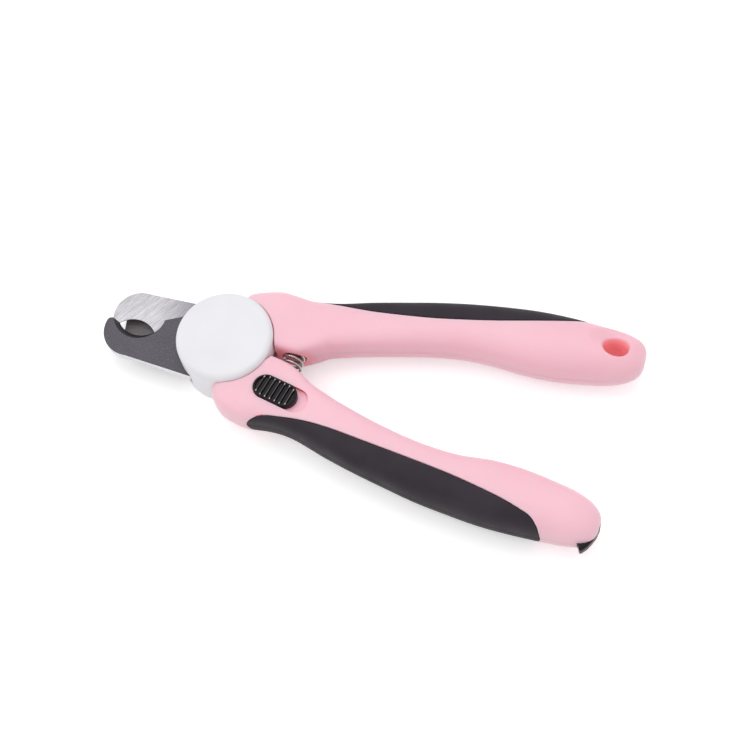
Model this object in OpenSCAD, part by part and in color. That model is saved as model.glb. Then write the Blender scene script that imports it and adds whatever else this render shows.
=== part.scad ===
// Plier-type pet nail clipper: two blades on one pivot, a coil return spring,
// a slide lock, a swinging nail guard and a pull-out nail file.
// Origin on the pivot axis, on the plane that the clipper rests on. +Z is up,
// the jaws point to -X, and the open handles lie each side of +X.

/* [Pivot drum] */
// Outer radius of the white pivot caps
drum_r = 15; // [14.8:0.1:15.6]
// Height of the whole drum
drum_h = 17; // [16:0.5:19]
// Radius of the drum's rounded edges
drum_round = 1.8; // [0.8:0.2:2.4]
// Radius of the pivot bolt's shank
bolt_r = 3; // [2.4:0.1:3.4]
// Radius of the pivot bolt's head
bolt_head_r = 5.3; // [4.6:0.1:6]
// Thickness of the pivot bolt's head
bolt_head_h = 1.4; // [1:0.1:1.6]
// Thickness of the pivot nut
nut_h = 3; // [2:0.5:3.5]
// Thickness of the pivot washer
washer_h = 0.6; // [0.4:0.1:1]

/* [Blades] */
// Thickness of each blade
blade_t = 2.5; // [2.2:0.1:2.6]
// Height of the plane where the two blades meet
cut_z = 7.1; // [7:0.1:7.3]
// Gap between the two blades' faces
blade_gap = 0.1; // [0.06:0.02:0.14]
// Radius of the round hub of each blade
hub_r = 12.6; // [11.5:0.1:12.7]
// Radius of the hooked jaw's outer edge
hook_r = 9.1; // [8.6:0.1:9.6]
// Radius of the hooked jaw's notch at the cutting edge
notch_r = 8; // [7.7:0.1:8.1]
// How much wider the notch is at its upper face
notch_bevel = 0.4; // [0.2:0.1:0.5]
// Radius of the curved jaw's outer edge
curve_r = 8.3; // [8:0.1:8.8]
// Radius of the curved jaw's concave edge
edge_r = 8.2; // [7.9:0.1:8.4]
// Angle that the handles close through
close_angle = 9.6; // [8:0.2:9.6]

/* [Handles] */
// Half of the handles' thickness at the drum
head_half = 6.6; // [6.4:0.1:7]
// Half of the handles' thickness at the palm
palm_half = 8.5; // [8:0.1:8.5]
// Where the handles end
handle_end = 124.6; // [122:0.2:128]
// Wall of the hollow handle shells
shell_wall = 2.4; // [2:0.1:2.8]
// Thickness of the soft grips
grip_t = 1.8; // [1.2:0.1:2]
// Gap between the drum and the moving handle
drum_gap = 0.4; // [0.4:0.1:0.7]
// Radius of the hanging hole
hole_r = 3.6; // [2.6:0.1:3.8]

/* [Spring] */
// Outer diameter of the return spring
spring_d = 7; // [7:0.1:8]
// Diameter of its wire
wire_d = 0.9; // [0.7:0.05:1]
// Number of turns
spring_turns = 8; // [6:1:8]
// Distance of the spring from the pivot
spring_x = 21.2; // [21:0.1:22]

/* [Lock] */
// Travel of the lock
lock_travel = 3.1; // [2.8:0.1:3.2]
// Length of the lock button
button_l = 14.6; // [13.6:0.2:15]
// Width of the lock button
button_w = 7.6; // [7:0.2:8]
// Number of ribs on the lock button
button_ribs = 7; // [5:1:9]
// Radius of the lock pin
pin_r = 0.9; // [0.7:0.1:0.9]

/* [Guard] */
// Thickness of the guard plate
guard_t = 1.2; // [0.8:0.1:1.2]
// Angle that the guard swings through
guard_angle = 30; // [20:1:32]

/* [Nail file] */
// Length of the file blade
file_l = 51; // [44:1:52]
// Width of the file blade
file_w = 7; // [5.6:0.2:7.2]
// Thickness of the file blade
file_t = 1.4; // [1:0.1:1.6]
// How far the file pulls out
file_travel = 40; // [34:1:44]

/* [Fits] */
// Running clearance of round parts on pins, on the radius
run_fit = 0.05; // [0.03:0.01:0.08]
// Clearance of parts that are clamped or nested
nest_fit = 0.15; // [0.1:0.01:0.2]
// Clearance of sliding parts
slide_fit = 0.2; // [0.15:0.01:0.25]
// Radius of the shell screws' shanks
screw_r = 1.25; // [1:0.05:1.4]
// Radius of the shell screws' heads
screw_head_r = 2.3; // [2:0.05:2.5]

/* [Hidden] */
$fn = 96;
eps = 0.01;

// Heights of the stack on the pivot, from the rest plane up
mid_z = palm_half;                        // plane where the handle shells meet
curved_top = cut_z - blade_gap / 2;
curved_bot = curved_top - blade_t;
hook_bot = cut_z + blade_gap / 2;
hook_top = hook_bot + blade_t;
guard_top = curved_bot - 0.1;
guard_bot = guard_top - guard_t;
guard_washer_h = 0.5;
guard_washer_top = guard_bot - run_fit;
head_recess = 0;
head_top = head_recess + bolt_head_h;
cap_bot = hook_top + 0.1;
washer_bot = hook_top + run_fit;
nut_bot = washer_bot + washer_h;
nut_top = nut_bot + nut_h;
cap_cavity_top = drum_h - 2;
drum_inner_r = hub_r + nest_fit;

// Outlines of the handles: [x, distance from the middle plane Y = 0]
hang_outer = [[0.8, 16.9], [2, 17.9], [4, 18.7], [8, 20.1], [12, 21.1], [17, 20.8], [22, 20.4],
    [30, 21.6], [40, 24.6], [50, 27.3], [60, 29.8], [70, 31.8], [80, 33.3], [90, 34.4],
    [100, 34.7], [112, 34.2], [130, 34.2]];
hang_inner = [[0.8, 1.4], [17, 1.4], [20, 1.25], [23, 1.5], [25, 2.4], [28, 3.9], [31, 5.7],
    [35, 6.9], [40, 8.4], [50, 11], [60, 13.4], [70, 15.1], [80, 15.4], [90, 14.8],
    [100, 15.1], [112, 16.9], [130, 19.2]];
file_outer = [[0.8, 16.6], [2, 18.6], [4, 20.6], [6, 21.8], [10, 23], [14, 23.5], [20, 22.8],
    [25, 22.8], [30, 23.7], [40, 26.8], [50, 29.4], [60, 31.6], [70, 33.6], [80, 34.9],
    [90, 35.9], [100, 36.1], [112, 35.8], [130, 35.3]];
file_inner = [[0.8, 1.4], [15, 1.4], [18, 1.8], [20, 2.2], [22, 2.8], [24, 3.5], [26, 4.5],
    [28, 5.7], [31, 7.2], [35, 8.6], [40, 10.3], [50, 13.1], [60, 15.4], [70, 17], [80, 17.5],
    [90, 16.6], [100, 17], [112, 18.8], [130, 20.9]];
// Half thickness of the handles' sections along X
half_z = [[0.8, head_half - 3.4], [1.6, head_half - 1.8], [2.8, head_half - 0.7],
    [4.5, head_half - 0.2], [10, head_half], [30, head_half + 0.1], [50, head_half + 0.5],
    [70, palm_half - 0.8], [92, palm_half], [108, palm_half - 0.2], [130, palm_half - 1.2]];
// Squareness of the sections on the inner and on the outer side
square_in = [[0, 4], [12, 7], [23, 7], [30, 4], [45, 3], [60, 2.7], [100, 2.5], [130, 2.3]];
square_out = [[0, 4], [20, 3.8], [35, 3.3], [60, 2.7], [100, 2.5], [130, 2.3]];
end_start = 108;                          // where the handle's end begins to round off
end_power_in = 2.6;                       // how square its corner is on the inner side
end_power_out = 3.7;                      // and on the outer side
// Upper border of the soft grips: [x, place across the section, 1 = outer side]
file_border = [[15, 0.99], [16, 0.97], [18, 0.9], [21, 0.84], [24, 0.8], [27, 0.72], [30, 0.61],
    [36, 0.38], [42, 0.21], [52, 0.05], [61, -0.05], [70, -0.09], [79, -0.02], [88, 0.17],
    [96, 0.34], [102, 0.51], [104.6, 0.6], [106, 0.7], [107.2, 0.82], [108.3, 0.93]];
hang_border = [[16, 0.98], [22, 0.95], [27, 0.89], [32, 0.73], [37, 0.53], [42, 0.37], [52, 0.17],
    [61, 0.05], [70, 0.05], [79, 0.16], [88, 0.35], [96, 0.55], [102, 0.75], [106, 0.93]];

hang_screws = [[31, 14.4], [54, 18.3], [99, 24]];
file_screws = [[31, -14.8], [52, -18.4], [99, -20.3]];
hole_at = [115.5, 27];
boss_r = screw_head_r + nest_fit + 1;

// Tangs of the blades, inside the handles
hook_tang = [[9, 6], [12.4, 2], [16.2, 3.4], [16.6, 8.9], [27, 8.9], [33, 10.6], [46, 13.6],
    [59, 17], [59, 23.4], [46, 20.6], [32, 17.8], [22, 17.2], [13, 16.2], [3, 12.2]];
curved_tang = [[5.5, -9.5], [8.2, -13.4], [11, -18], [20, -19], [32, -18.8], [46, -21], [57, -22.6],
    [57, -15.8], [46, -13.8], [33, -10.4], [27, -8], [16.6, -7.6], [15.6, -5], [12.4, -2.5],
    [9, -4]];

// Lock: the pin's place at rest, and the direction in which it slides
lock_dir = -12;
lock_pin_r = drum_r + 3;
lock_pin_a = -33;
// Centres of the rounds that blunt the handles' corners beside the drum
file_flare = [2.9, 5.6];
hang_flare = [0.9, -2.4];
pin_at = lock_pin_r * [cos(lock_pin_a), sin(lock_pin_a)];
button_at = pin_at + [5.9, -3.5];
button_floor = mid_z + head_half - 1.6;
button_top = mid_z + head_half + 0.7;
plate_top = 11.6;
plate_t = 1.1;
// Claw of the hook blade, which the pin catches
pin_out = pin_at + lock_travel * [cos(lock_dir), sin(lock_dir)];
pin_out_r = norm(pin_out);
pin_out_a = atan2(pin_out[1], pin_out[0]);
claw_fit = 0.35;
tooth_mid = pin_out_a + close_angle / 2;
tooth_half = close_angle / 2 - (pin_r + claw_fit - 0.08) / pin_out_r * 180 / PI;
claw_in = pin_out_r + pin_r + claw_fit;
claw_out = claw_in + 2.2;
claw_end = -46;
neck_w = 5;
tooth_r = lock_pin_r + pin_r + claw_fit;

// Spring seats
spring_r = spring_d / 2;
seat_r = spring_r + 0.3;
seat_low = -6.6;
seat_high = 8;
spring_mid_r = spring_r - wire_d / 2;

// File and its tab
file_y = -27.4;
file_end = 119;
tab_t = 2.8;
tab_edge = [[112, -31.8], [118, -33], [119.6, -33.8], [119.3, -34.8], [120.1, -35.5],
    [120.4, -36.4], [120.8, -36.8], [121.4, -36.5], [122.6, -35], [123.6, -33], [124.4, -30.6],
    [124.7, -28.7], [124.5, -27], [124, -25.3], [123, -24], [112, -23.8]];
tab_body = [[112, -31.8], [118, -33], [119.6, -33.8], [121, -33.8], [121, -23.8], [112, -23.8]];

// ---- Functions -----------------------------------------------------------

// Index of the stretch of a profile that holds x
function stretch(p, x, i = 0) = (i >= len(p) - 2 || x < p[i + 1][0]) ? i : stretch(p, x, i + 1);
// Slope of a profile at its point i
function slope(p, i) = let (a = max(i - 1, 0), b = min(i + 1, len(p) - 1))
    (p[b][1] - p[a][1]) / (p[b][0] - p[a][0]);
// Value of a profile at x, on a smooth curve through its points
function along(p, x) = let (
        i = stretch(p, x),
        h = p[i + 1][0] - p[i][0],
        t = (x - p[i][0]) / h)
    (2 * pow(t, 3) - 3 * t * t + 1) * p[i][1] + (pow(t, 3) - 2 * t * t + t) * h * slope(p, i)
    + (3 * t * t - 2 * pow(t, 3)) * p[i + 1][1] + (pow(t, 3) - t * t) * h * slope(p, i + 1);
// How much of its width the handle keeps at x, as it rounds off to its end
function end_keep(x, power = end_power_in) = x <= end_start ? 1
    : pow(1 - pow((x - end_start) / (handle_end - end_start), power), 1 / power);
function signed_pow(v, e) = sign(v) * pow(abs(v), e);
// Centre, half width and half thickness of a handle's section at x, less an inset
function middle_y(inner, outer, x) = (along(inner, x) + along(outer, x)) / 2;
function half_w(inner, outer, x, a) = (along(outer, x) - along(inner, x)) / 2
    * end_keep(x, cos(a) > 0 ? end_power_in : end_power_out);
function half_h(x) = along(half_z, x) * pow(end_keep(x), 0.8);
// Point of a handle's section at x: 0 degrees is its inner side, 180 its outer one
function rim(inner, outer, x, a, inset = 0) = let (p = 2 / along(cos(a) > 0 ? square_in : square_out, x))
    [x,
     middle_y(inner, outer, x) - (half_w(inner, outer, x, a) - inset) * signed_pow(cos(a), p),
     (half_h(x) - inset) * signed_pow(sin(a), p)];
// Angle at which a section reaches a share of its half width on its outer side
function border_angle(x, u) = acos(-signed_pow(u, along(u > 0 ? square_out : square_in, x) / 2));

// Stations along a handle, closer where its end rounds off
function stations(first) = concat(
    [for (x = [first, 1.6, 2.8, 4.5, 8, 12, 16, 20, 24, 28, 33, 39, 45, 52, 60, 70, 80, 90, 100]) x],
    [for (a = [0, 20, 38, 54, 67, 77, 84]) end_start + (handle_end - end_start) * sin(a)]);

// Faces of a closed body through rings of points, as triangles
function ring_faces(n, m) = concat(
    [[for (j = [0 : m - 1]) j]],
    [for (i = [0 : n - 2]) for (j = [0 : m - 1]) let (k = (j + 1) % m)
        [i * m + j, (i + 1) * m + j, i * m + k]],
    [for (i = [0 : n - 2]) for (j = [0 : m - 1]) let (k = (j + 1) % m)
        [i * m + k, (i + 1) * m + j, (i + 1) * m + k]],
    [[for (j = [m - 1 : -1 : 0]) (n - 1) * m + j]]);

module through_rings(rings) {
    polyhedron([for (r = rings) for (p = r) p], ring_faces(len(rings), len(rings[0])), convexity = 8);
}

// ---- Shapes shared by several pieces ---------------------------------------

// Plane sector between two radii and two angles
module sector(r0, r1, a0, a1) {
    far = r1 * 2;
    mid = (a0 + a1) / 2;
    intersection() {
        difference() {
            circle(r1);
            circle(r0);
        }
        polygon([[0, 0], far * [cos(a0), sin(a0)], far * [cos(mid), sin(mid)],
            far * [cos(a1), sin(a1)]]);
    }
}

// Bar with round ends, centred
module stadium(l, w) {
    square([l - w, w], center = true);
    for (s = [-1, 1])
        translate([s * (l - w) / 2, 0]) circle(w / 2);
}

module plate(z0, z1) {
    translate([0, 0, z0]) linear_extrude(z1 - z0) children();
}

// Half of a handle's outer body, above the middle plane
module handle_half(inner, outer) {
    turns = 14;
    through_rings([for (x = stations(inner[0][0])) [for (j = [turns : -1 : 0])
        rim(inner, outer, x, j * 180 / turns)]]);
}

// Room inside a handle
module handle_room(inner, outer, x0, x1) {
    sides = 14;
    steps = 8;
    through_rings([for (i = [0 : steps]) let (x = x0 + (x1 - x0) * i / steps)
        [for (j = [sides - 1 : -1 : 0]) rim(inner, outer, x, j * 360 / sides, shell_wall)]]);
}

// What the soft grip takes out of a handle's half, from its border to the outer side
module grip_cut(inner, outer, border) {
    turns = 7;
    reach = 2;
    through_rings([for (b = border) let (x = b[0], a0 = border_angle(x, b[1])) concat(
        [for (j = [turns : -1 : 0]) rim(inner, outer, x, a0 + (186 - a0) * j / turns, -reach)],
        [for (j = [0 : turns]) rim(inner, outer, x, a0 + (186 - a0) * j / turns, grip_t)])]);
}

module file_half() { mirror([0, 1, 0]) handle_half(file_inner, file_outer); }
module hang_half() { handle_half(hang_inner, hang_outer); }
module file_grip_cut() { mirror([0, 1, 0]) grip_cut(file_inner, file_outer, file_border); }
module hang_grip_cut() { grip_cut(hang_inner, hang_outer, hang_border); }

// Upper or lower half in place: side is 1 above the middle plane and -1 below it
module at_mid(side) {
    translate([0, 0, mid_z]) mirror([0, 0, side < 0 ? 1 : 0]) children();
}

// A screw's way through the shells, with a sunk seat for its head
module screw_way(p) {
    translate([p[0], p[1], 2.4]) cylinder(r = screw_r + run_fit, h = 10.4);
    translate([p[0], p[1], -1]) cylinder(r = screw_head_r + nest_fit, h = 1 + head_seat_z);
}
head_seat_z = 3.6;
screw_tip_z = 12.6;
module shell_screw(p) {
    translate([p[0], p[1], head_seat_z - 1.2]) cylinder(r = screw_head_r, h = 1.2);
    translate([p[0], p[1], head_seat_z - eps])
        cylinder(r = screw_r, h = screw_tip_z - head_seat_z + eps);
}

// Seat of the return spring in a handle
module spring_seat(y0, y1) {
    translate([spring_x, y0, mid_z]) rotate([-90, 0, 0]) cylinder(r = seat_r, h = y1 - y0);
}

module claw_room() {
    plate(curved_top, hook_top + slide_fit)
        sector(drum_r - 0.5, claw_out + 0.7, tooth_mid + tooth_half + 1.2, claw_end - close_angle - 1.5);
}

module lock_moves() {
    for (s = [0, 1])
        translate(s * lock_travel * [cos(lock_dir), sin(lock_dir), 0]) children();
}

module lock_plate_outline(grow) {
    hull() {
        translate(pin_at) circle(1.9 + grow);
        translate(button_at) circle(2.8 + grow);
    }
}

module file_outline(grow) {
    translate([file_end - file_l - grow, file_y - file_w / 2 - grow])
        square([file_l + 2 * grow, file_w + 2 * grow]);
}

// Everything that the file handle's shells are cut back for
module file_handle_rooms() {
    translate([0, 0, -1]) cylinder(r = drum_r + nest_fit, h = drum_h + 2);
    claw_room();
    spring_seat(seat_low, 4);
    plate(hook_top, plate_top + 0.1) hull() lock_moves() lock_plate_outline(slide_fit);
    translate(file_flare) translate([0, 0, -1]) cylinder(r = drum_r + nest_fit, h = drum_h + 2);
    plate(mid_z - file_t / 2 - slide_fit, mid_z + file_t / 2 + slide_fit) {
        file_outline(slide_fit);
        translate([file_end - 1, file_y - file_w / 2 - slide_fit])
            square([10, file_w + 2 * slide_fit]);
    }
    plate(mid_z - tab_t / 2 - nest_fit, mid_z + tab_t / 2 + nest_fit) {
        offset(delta = nest_fit) polygon(tab_edge);
        hull() for (s = [0, 14])
            translate([s, 0]) offset(delta = nest_fit) polygon(tab_body);
    }
    difference() {
        translate([0, 0, mid_z]) mirror([0, 1, 0]) handle_room(file_inner, file_outer, 60, 106);
        for (p = file_screws)
            translate([p[0], p[1], -1]) cylinder(r = boss_r, h = drum_h + 2);
    }
    for (p = file_screws) screw_way(p);
}

module hang_handle_rooms() {
    translate([0, 0, -1]) cylinder(r = drum_r + drum_gap, h = drum_h + 2);
    translate(hang_flare) translate([0, 0, -1]) cylinder(r = drum_r + drum_gap, h = drum_h + 2);
    spring_seat(0, seat_high);
    plate(hook_bot, hook_top) offset(delta = nest_fit) polygon(hook_tang);
    translate([hole_at[0], hole_at[1], -1]) cylinder(r = hole_r, h = drum_h + 2);
    difference() {
        translate([0, 0, mid_z]) handle_room(hang_inner, hang_outer, 65, 107);
        for (p = hang_screws)
            translate([p[0], p[1], -1]) cylinder(r = boss_r, h = drum_h + 2);
    }
    for (p = hang_screws) screw_way(p);
}

module ramp_disc(p, z, r) {
    translate([p[0], p[1], z - 0.05]) cylinder(r = r, h = 0.1, $fn = 28);
}

// Scoop that leads into the hanging hole, wider along the handle
module hole_ramp(side) {
    ramp_top = mid_z + side * (palm_half + 1);
    hull() {
        ramp_disc(hole_at, mid_z + side * 3, hole_r + 0.05);
        ramp_disc(hole_at + [0.2, 0.6], ramp_top, hole_r + 0.3);
        ramp_disc(hole_at + [-4.2, 1], ramp_top, hole_r - 0.6);
    }
}

// ---- File handle (fixed body) ------------------------------------------------

module file_handle_top_shell() {
    color("pink") difference() {
        union() {
            at_mid(1) difference() {
                file_half();
                file_grip_cut();
            }
            plate(curved_top, mid_z + 1) difference() {
                offset(delta = -nest_fit) polygon(curved_tang);
                circle(drum_r + 1);
            }
        }
        file_handle_rooms();
        plate(button_floor, drum_h + 1)
            hull() lock_moves() translate(button_at) rotate(lock_dir)
                stadium(button_l + 2 * slide_fit, button_w + 2 * slide_fit);
        plate(hook_top, drum_h) hull() lock_moves() translate(button_at) circle(1.6 + slide_fit);
    }
}

module file_handle_bottom_shell() {
    color("pink") difference() {
        at_mid(-1) difference() {
            file_half();
            file_grip_cut();
        }
        file_handle_rooms();
        plate(curved_bot, drum_h) offset(delta = nest_fit) polygon(curved_tang);
    }
}

module file_handle_grip(side) {
    difference() {
        at_mid(side) intersection() {
            file_half();
            file_grip_cut();
        }
        plate(mid_z - tab_t / 2 - nest_fit, mid_z + tab_t / 2 + nest_fit)
            offset(delta = nest_fit) polygon(tab_edge);
    }
}
module file_handle_top_grip() { color("#3c393c") file_handle_grip(1); }
module file_handle_bottom_grip() { color("#3c393c") file_handle_grip(-1); }

module file_handle_screws() {
    color("silver") for (p = file_screws) shell_screw(p);
}

// Curved jaw: its concave edge shears past the notch of the hook blade
curve_at = [-31.6, 4];
edge_at = [-31.2, -5.5];
module curved_blade() {
    color("#d1cdd3") difference() {
        plate(curved_bot, curved_top) difference() {
            union() {
                translate(curve_at) circle(curve_r);
                polygon([[-30, 2], [-24.7, -1.1], [-12, -7], [2, 1 - hub_r], [2, hub_r - 1],
                    [-6.8, hub_r - 2], [-8.3, hub_r + 0.2], curve_at + [0.7, curve_r - 0.05]]);
                circle(hub_r);
                polygon(curved_tang);
            }
            circle(bolt_r + run_fit);
            for (p = file_screws) translate(p) circle(screw_r + nest_fit);
        }
        translate([edge_at[0], edge_at[1], curved_bot - eps])
            cylinder(r1 = edge_r + 1.2, r2 = edge_r, h = blade_t + 2 * eps);
    }
}

// Profile of a cap: a disc with one rounded edge at its top
module cap_profile(h) {
    square([drum_r - drum_round, h]);
    square([drum_r, h - drum_round]);
    translate([drum_r - drum_round, h - drum_round]) circle(drum_round);
}

skirt_front = [-120.5, -60];
skirt_back = [98, 118.5];
module top_pivot_cap() {
    color("#eeedf2") difference() {
        union() {
            translate([0, 0, cap_bot]) rotate_extrude()
                intersection() {
                    cap_profile(drum_h - cap_bot);
                    square([drum_r, drum_h]);
                }
            plate(curved_bot, cap_bot + 1)
                for (s = [skirt_front, skirt_back])
                    sector(drum_inner_r, drum_r, s[0], s[1]);
        }
        translate([0, 0, cap_bot - 1]) cylinder(r = 8, h = cap_cavity_top - cap_bot + 1);
    }
}

module bottom_pivot_cap() {
    color("#eeedf2") difference() {
        translate([0, 0, curved_bot]) mirror([0, 0, 1]) rotate_extrude()
            intersection() {
                cap_profile(curved_bot);
                square([drum_r, drum_h]);
            }
        translate([0, 0, -1]) cylinder(r = bolt_head_r + nest_fit, h = 1 + head_top);
        translate([0, 0, -1]) cylinder(r = bolt_r + run_fit, h = drum_h);
        translate([0, 0, guard_washer_top - guard_washer_h]) cylinder(r = 7.2, h = drum_h);
        plate(guard_washer_top, drum_h) {
            for (k = [0, 0.5, 1])
                rotate(-k * guard_angle) guard_root(0.4);
            sector(1, drum_r + 1, 153 - guard_angle, 180);
        }
    }
}

module pivot_bolt() {
    color("silver") {
        translate([0, 0, head_recess]) cylinder(r = bolt_head_r, h = bolt_head_h);
        translate([0, 0, head_top - eps]) cylinder(r = bolt_r, h = nut_top + 0.8 - head_top + eps);
    }
}

module pivot_nut() {
    color("silver") translate([0, 0, nut_bot]) difference() {
        cylinder(r = bolt_r + 2.4, h = nut_h, $fn = 6);
        translate([0, 0, -1]) cylinder(r = bolt_r + 0.02, h = nut_h + 2);
    }
}

module pivot_washer() {
    color("silver") translate([0, 0, washer_bot]) difference() {
        cylinder(r = 6.8, h = washer_h);
        translate([0, 0, -1]) cylinder(r = bolt_r + run_fit, h = washer_h + 2);
    }
}

// ---- Return spring ------------------------------------------------------------

spring_rings = 8;
spring_sides = 6;
spring_lead = wire_d;
spring_low = seat_low + wire_d / 2 + 0.1;
spring_high = seat_high - wire_d / 2 - 0.1;
spring_steps = spring_turns * spring_rings;
// Height of the coil's centre line after a share t of its turns: closed ends, open middle
function coil_rise(t) = let (n = spring_turns, u = t * n, dead = 1,
        lead = wire_d + 0.5,
        open = (spring_high - spring_low - 2 * dead * lead) / (n - 2 * dead))
    u < dead ? u * lead : u > n - dead ? spring_high - spring_low - (n - u) * lead
    : dead * lead + (u - dead) * open;
function coil_point(i) = let (a = 90 + i * 360 / spring_rings)
    [spring_x + spring_mid_r * cos(a), spring_low + coil_rise(i / spring_steps),
     mid_z + spring_mid_r * sin(a)];
function coil_tangent(i) = let (d = coil_point(min(i + 0.5, spring_steps)) - coil_point(max(i - 0.5, 0)))
    d / norm(d);
function coil_ring(p, t) = let (u0 = cross([0, 1, 0], t), u = u0 / norm(u0), v = cross(t, u))
    [for (k = [0 : spring_sides - 1]) let (a = k * 360 / spring_sides)
        p + wire_d / 2 * (cos(a) * u + sin(a) * v)];
coil_start = coil_point(0);
coil_end = coil_point(spring_steps);
coil_rings = concat(
    [coil_ring(coil_start - spring_lead * coil_tangent(0), coil_tangent(0))],
    [for (i = [0 : spring_steps]) coil_ring(coil_point(i), coil_tangent(i))],
    [coil_ring(coil_end + spring_lead * coil_tangent(spring_steps), coil_tangent(spring_steps))]);
spring_least = min([for (i = [0 : spring_steps - spring_rings])
    norm(coil_point(i + spring_rings) - coil_point(i))]) - wire_d;
echo(least_gap_of_the_spring_to_itself = spring_least);

module return_spring() {
    color("silver") through_rings(coil_rings);
}

// ---- Hang handle ------------------------------------------------------------

module hang_handle_top_shell() {
    color("pink") difference() {
        at_mid(1) difference() {
            hang_half();
            hang_grip_cut();
        }
        hang_handle_rooms();
        hole_ramp(1);
    }
}

module hang_handle_bottom_shell() {
    color("pink") difference() {
        at_mid(-1) difference() {
            hang_half();
            hang_grip_cut();
        }
        hang_handle_rooms();
        hole_ramp(-1);
    }
}

module hang_handle_grip(side) {
    at_mid(side) intersection() {
        hang_half();
        hang_grip_cut();
    }
}
module hang_handle_top_grip() { color("#3c393c") hang_handle_grip(1); }
module hang_handle_bottom_grip() { color("#3c393c") hang_handle_grip(-1); }

module hang_handle_screws() {
    color("silver") for (p = hang_screws) shell_screw(p);
}

// Hooked jaw: a round notch with a bevelled rim
hook_at = [-31, -2.2];
notch_at = [-30.65, 5.35];
notch_top_at = [-30.5, 3.55];
module hook_blade() {
    color("#67636b") difference() {
        plate(hook_bot, hook_top) difference() {
            union() {
                translate(hook_at) circle(hook_r);
                polygon([hook_at - [-0.8, hook_r - 0.05], [-8, -hub_r - 0.35],
                    [-6.5, 1.8 - hub_r], [2, 1 - hub_r], [2, hub_r - 1], [-8, 9.8], [-11, 9.2],
                    [-22.6, 3.2], [-24.8, 2.1], [-26, -2], hook_at]);
                circle(hub_r);
                polygon(hook_tang);
                claw();
            }
            circle(bolt_r + run_fit);
            for (p = hang_screws) translate(p) circle(screw_r + nest_fit);
            polygon([[-45, -1.2], [-40.1, -1.2], [-39.85, -0.4], [-39.4, 0.1], [-38.7, 0.3],
                [-35, 0.3], [-35, 12.3], [-45, 12.3]]);
        }
        hull() {
            plate(hook_bot - 2 * eps, hook_bot) translate(notch_at) circle(notch_r);
            plate(hook_top, hook_top + 2 * eps)
                translate(notch_top_at) circle(notch_r + notch_bevel);
        }
    }
}

// Claw that the lock pin holds
module claw() {
    sector(claw_in, claw_out, claw_end, tooth_mid);
    sector(hub_r - 1, claw_out, claw_end, claw_end + neck_w);
    sector(tooth_r, claw_out, tooth_mid - tooth_half, tooth_mid + tooth_half);
}

// ---- Lock -----------------------------------------------------------------------

module lock_button() {
    rib_gap = (button_l - 2.4) / (button_ribs + 1);
    rib_t = 0.45;
    color("#29212a") difference() {
        union() {
            plate(button_floor + 0.1, button_top)
                translate(button_at) rotate(lock_dir) stadium(button_l, button_w);
            plate(plate_top + 0.1, button_floor + 0.2) translate(button_at) circle(1.6);
        }
        translate([button_at[0], button_at[1], 0]) rotate(lock_dir)
            intersection() {
                for (i = [0 : button_ribs])
                    translate([(i - (button_ribs + 1) / 2) * rib_gap + rib_t / 2, -button_w,
                        button_top - 0.6])
                        cube([rib_gap - rib_t, 2 * button_w, 1]);
                translate([0, 0, button_top - 1]) linear_extrude(3)
                    stadium(button_l - 1.2, button_w - 1.2);
            }
        translate([button_at[0], button_at[1], plate_top - 1]) cylinder(r = 0.8, h = 3.4);
    }
}

module lock_plate() {
    color("silver") plate(plate_top - plate_t, plate_top) difference() {
        lock_plate_outline(0);
        translate(button_at) circle(0.85);
    }
}

module lock_pin() {
    color("silver") translate([pin_at[0], pin_at[1], curved_top + slide_fit])
        cylinder(r = pin_r, h = plate_top - plate_t - curved_top - slide_fit);
}

module lock_screw() {
    color("silver") translate([button_at[0], button_at[1], 0]) {
        translate([0, 0, plate_top - plate_t - 0.6]) cylinder(r = 1.6, h = 0.6);
        translate([0, 0, plate_top - plate_t - eps]) cylinder(r = 0.8, h = 3);
    }
}

// ---- Nail file --------------------------------------------------------------------

module file_blade() {
    color("silver") plate(mid_z - file_t / 2, mid_z + file_t / 2) difference() {
        union() {
            intersection() {
                file_outline(0);
                translate([0, -60]) square([tab_edge[0][0] - 0.1, 60]);
            }
            tab_core();
        }
        translate([file_end - 3, file_y]) circle(1.4);
    }
}

// Tang of the file inside its tab, wrapped by the plastic
module tab_core() {
    offset(delta = -0.8) polygon(tab_edge);
    translate([tab_edge[0][0] - 2, file_y - file_w / 2]) square([4, file_w - 0.7]);
}

module file_tab() {
    color("#29212a") difference() {
        plate(mid_z - tab_t / 2, mid_z + tab_t / 2) polygon(tab_edge);
        plate(mid_z - file_t / 2, mid_z + file_t / 2) difference() {
            tab_core();
            translate([file_end - 3, file_y]) circle(1.4);
        }
    }
}

// ---- Guard ------------------------------------------------------------------------

guard_hub_r = 8.6;
// The guard's hub and the start of its arm, grown by a clearance
module guard_root(grow) {
    circle(guard_hub_r + grow);
    polygon([[1, guard_hub_r - 0.5 + grow], [-12, 6.2 + grow], [-18, 6.3 + grow],
        [-18, -7.4 - grow], [-12, -7.6 - grow], [1, 0.5 - guard_hub_r - grow]]);
}

module guard_plate() {
    color("#55514f") plate(guard_bot, guard_top) difference() {
        union() {
            guard_root(0);
            polygon([[-17, 6.2], [-32, 6.6], [-35, 5.4], [-36, 2.6], [-34.6, -5], [-33, -6.4],
                [-17, -7.3]]);
        }
        circle(bolt_r + run_fit);
    }
}

module guard_washer() {
    color("silver") translate([0, 0, guard_washer_top - guard_washer_h]) difference() {
        cylinder(r = 7, h = guard_washer_h);
        translate([0, 0, -1]) cylinder(r = bolt_r + run_fit, h = guard_washer_h + 2);
    }
}

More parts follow.
